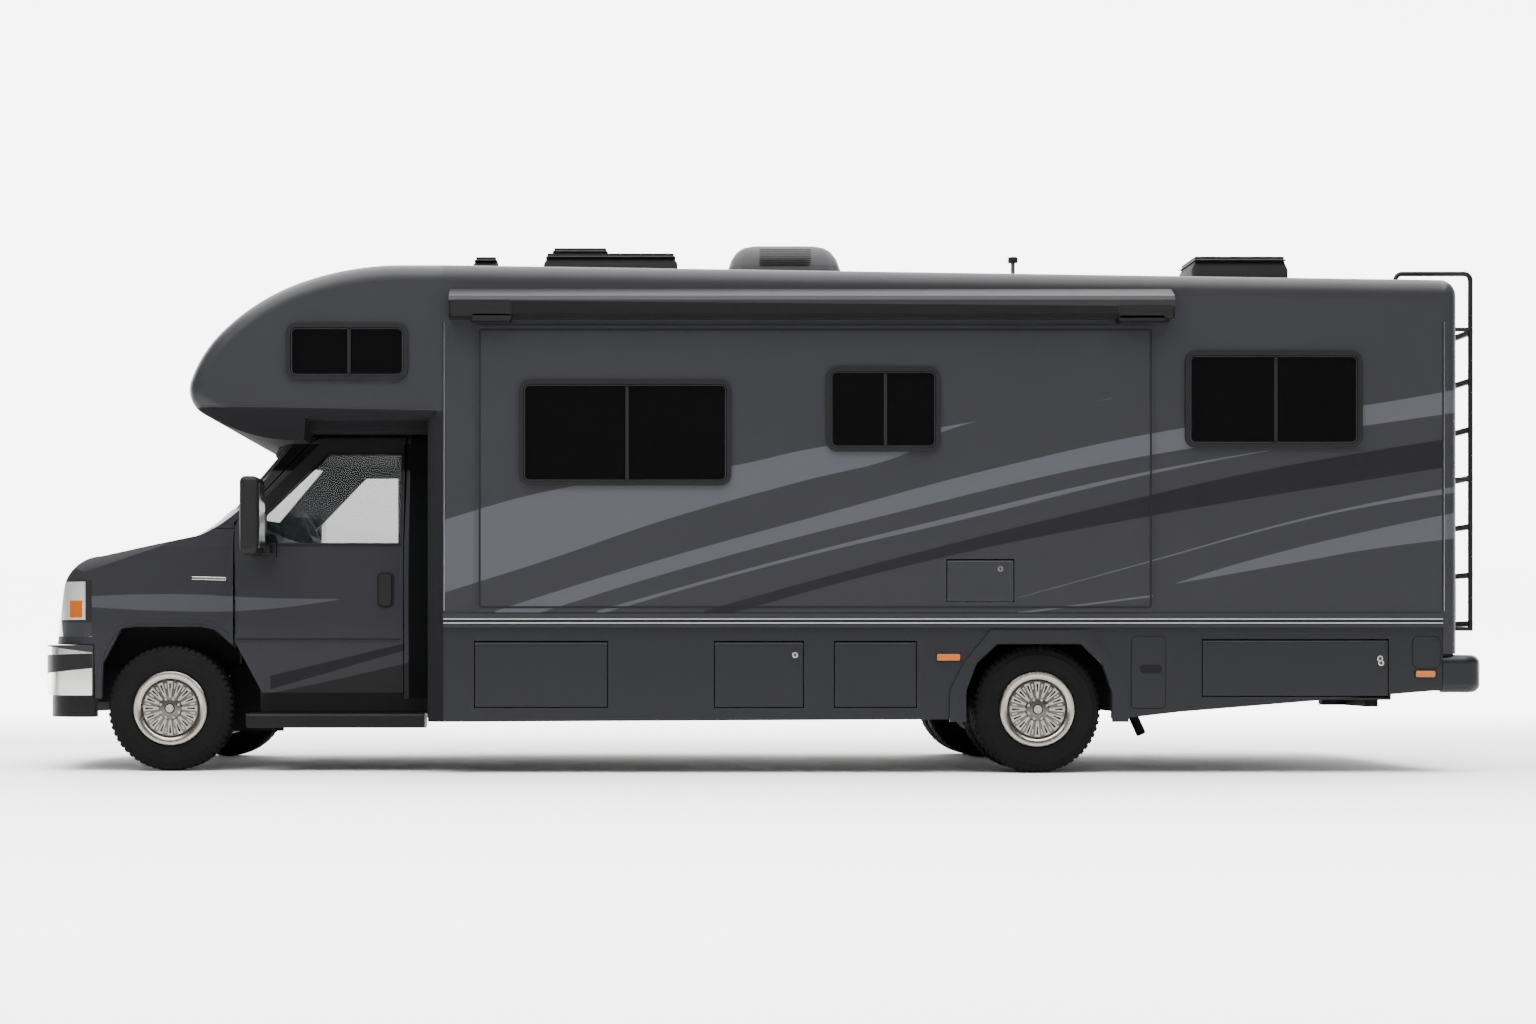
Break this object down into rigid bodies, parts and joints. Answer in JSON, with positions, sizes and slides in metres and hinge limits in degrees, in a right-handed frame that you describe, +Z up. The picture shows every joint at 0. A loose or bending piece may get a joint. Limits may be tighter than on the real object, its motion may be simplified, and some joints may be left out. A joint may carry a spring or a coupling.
{
  "type": "motorhome",
  "caption": "Cab-over motorhome on a van cutaway chassis with twin rear wheels, a slide-out room, baggage doors, awning, ladder and roof air conditioner.",
  "frame": {"origin": "on the ground, in the middle of the vehicle's length and width", "axes": "-X to the front, -Y to the left side, +Z up"},
  "size_m": [8.5898, 2.7, 3.272],
  "materials": {
    "body_paint": "glossy grey paint",
    "cab_paint": "glossy grey paint",
    "roof_skin": "smooth pale sheet",
    "glass": "dark tinted glass",
    "lamp_glass": "clear lens",
    "tail_lens": "red lens",
    "chrome": "bright plate",
    "rubber": "black rubber",
    "steel": "black chassis paint",
    "wheel_metal": "bright wheel cover",
    "dark_plastic": "grained black plastic",
    "grey_plastic": "grey plastic",
    "interior": "woven cloth",
    "floor_board": "board",
    "awning_case": "grey case"
  },
  "bodies": {
    "coach": {"frame_rails": "steel", "tow_hitch": "steel", "front_axle": "steel", "rear_axle": "steel", "leaf_springs": "steel", "powertrain": "steel", "tanks": "dark_plastic", "exhaust": "steel", "cab_shell": "cab_paint", "windshield": "glass", "headlamps": "lamp_glass", "grille": "chrome", "fenders": "cab_paint", "front_bumper": "chrome", "front_valance": "dark_plastic", "dashboard": "dark_plastic", "seats": "interior", "steps": "dark_plastic", "roof": "roof_skin", "left_wall": "body_paint", "right_wall": "body_paint", "floor": "floor_board", "left_skirt": "body_paint", "right_skirt": "body_paint", "awning": "awning_case", "front_cap": "body_paint", "rear_cap": "body_paint", "house_windows": "glass", "rear_bumper": "grey_plastic", "tail_lamps": "tail_lens", "ladder": "dark_plastic", "air_conditioner": "grey_plastic", "roof_vents": "dark_plastic"},
    "steer_left": {"knuckle_left": "steel"},
    "steer_right": {"knuckle_right": "steel"},
    "front_wheel_left": {"wheel_front_left": "wheel_metal", "tyre_front_left": "rubber"},
    "front_wheel_right": {"wheel_front_right": "wheel_metal", "tyre_front_right": "rubber"},
    "rear_wheels_left": {"wheels_rear_left": "wheel_metal", "tyres_rear_left": "rubber"},
    "rear_wheels_right": {"wheels_rear_right": "wheel_metal", "tyres_rear_right": "rubber"},
    "cab_door_left": {"cab_door_left": "cab_paint", "door_glass_left": "glass", "mirror_left": "dark_plastic"},
    "cab_door_right": {"cab_door_right": "cab_paint", "door_glass_right": "glass", "mirror_right": "dark_plastic"},
    "hood": {"hood": "cab_paint"},
    "entry_door": {"entry_door": "body_paint"},
    "slide_out": {"slide_out": "body_paint", "slide_windows": "glass"},
    "service_hatch": {"service_hatch": "body_paint"},
    "baggage_door_left_1": {"baggage_door_left_1": "body_paint"},
    "baggage_door_left_2": {"baggage_door_left_2": "body_paint"},
    "baggage_door_left_3": {"baggage_door_left_3": "body_paint"},
    "baggage_door_left_4": {"baggage_door_left_4": "body_paint"},
    "baggage_door_right_1": {"baggage_door_right_1": "body_paint"},
    "baggage_door_right_2": {"baggage_door_right_2": "body_paint"}
  },
  "joints": [
    {"name": "steering_left", "type": "hinge", "parent": "coach", "child": "steer_left", "pos_m": [-3.395, -0.7, 0.372], "axis": [0, 0, 1], "range_deg": [-35, 35]},
    {"name": "steering_right", "type": "hinge", "parent": "coach", "child": "steer_right", "pos_m": [-3.395, 0.7, 0.372], "axis": [0, 0, 1], "range_deg": [-35, 35]},
    {"name": "wheel_spin_front_left", "type": "hinge", "parent": "steer_left", "child": "front_wheel_left", "pos_m": [-3.395, -0.882, 0.372], "axis": [0, 1, 0], "continuous": true},
    {"name": "wheel_spin_front_right", "type": "hinge", "parent": "steer_right", "child": "front_wheel_right", "pos_m": [-3.395, 0.882, 0.372], "axis": [0, 1, 0], "continuous": true},
    {"name": "wheel_spin_rear_left", "type": "hinge", "parent": "coach", "child": "rear_wheels_left", "pos_m": [1.705, -0.94, 0.372], "axis": [0, 1, 0], "continuous": true},
    {"name": "wheel_spin_rear_right", "type": "hinge", "parent": "coach", "child": "rear_wheels_right", "pos_m": [1.705, 0.94, 0.372], "axis": [0, 1, 0], "continuous": true},
    {"name": "cab_door_left_hinge", "type": "hinge", "parent": "coach", "child": "cab_door_left", "pos_m": [-2.996, -0.985, 1.07], "axis": [0, 0, -1], "range_deg": [0, 65]},
    {"name": "cab_door_right_hinge", "type": "hinge", "parent": "coach", "child": "cab_door_right", "pos_m": [-2.996, 0.985, 1.07], "axis": [0, 0, 1], "range_deg": [0, 65]},
    {"name": "hood_hinge", "type": "hinge", "parent": "coach", "child": "hood", "pos_m": [-3.2, 0, 1.395], "axis": [0, 1, 0], "range_deg": [0, 55]},
    {"name": "entry_door_hinge", "type": "hinge", "parent": "coach", "child": "entry_door", "pos_m": [0.27, 1.236, 1.77], "axis": [0, 0, 1], "range_deg": [0, 100]},
    {"name": "slide_out_travel", "type": "slide", "parent": "coach", "child": "slide_out", "axis": [0, -1, 0], "range_m": [0, 0.7]},
    {"name": "service_hatch_hinge", "type": "hinge", "parent": "slide_out", "child": "service_hatch", "pos_m": [1.3605, -1.248, 1.225], "axis": [-1, 0, 0], "range_deg": [0, 90]},
    {"name": "baggage_door_left_1_hinge", "type": "hinge", "parent": "coach", "child": "baggage_door_left_1", "pos_m": [-1.186, -1.231, 0.75], "axis": [-1, 0, 0], "range_deg": [0, 90]},
    {"name": "baggage_door_left_2_hinge", "type": "hinge", "parent": "coach", "child": "baggage_door_left_2", "pos_m": [0.0785, -1.231, 0.75], "axis": [-1, 0, 0], "range_deg": [0, 90]},
    {"name": "baggage_door_left_3_hinge", "type": "hinge", "parent": "coach", "child": "baggage_door_left_3", "pos_m": [0.754, -1.231, 0.75], "axis": [-1, 0, 0], "range_deg": [0, 90]},
    {"name": "baggage_door_left_4_hinge", "type": "hinge", "parent": "coach", "child": "baggage_door_left_4", "pos_m": [3.1905, -1.231, 0.761], "axis": [-1, 0, 0], "range_deg": [0, 90]},
    {"name": "baggage_door_right_1_hinge", "type": "hinge", "parent": "coach", "child": "baggage_door_right_1", "pos_m": [-1.1, 1.231, 0.75], "axis": [1, 0, 0], "range_deg": [0, 90]},
    {"name": "baggage_door_right_2_hinge", "type": "hinge", "parent": "coach", "child": "baggage_door_right_2", "pos_m": [3.1905, 1.231, 0.761], "axis": [1, 0, 0], "range_deg": [0, 90]}
  ],
  "couplings": [
    {"joint": "steering_right", "follows": "steering_left", "ratio": 1}
  ]
}
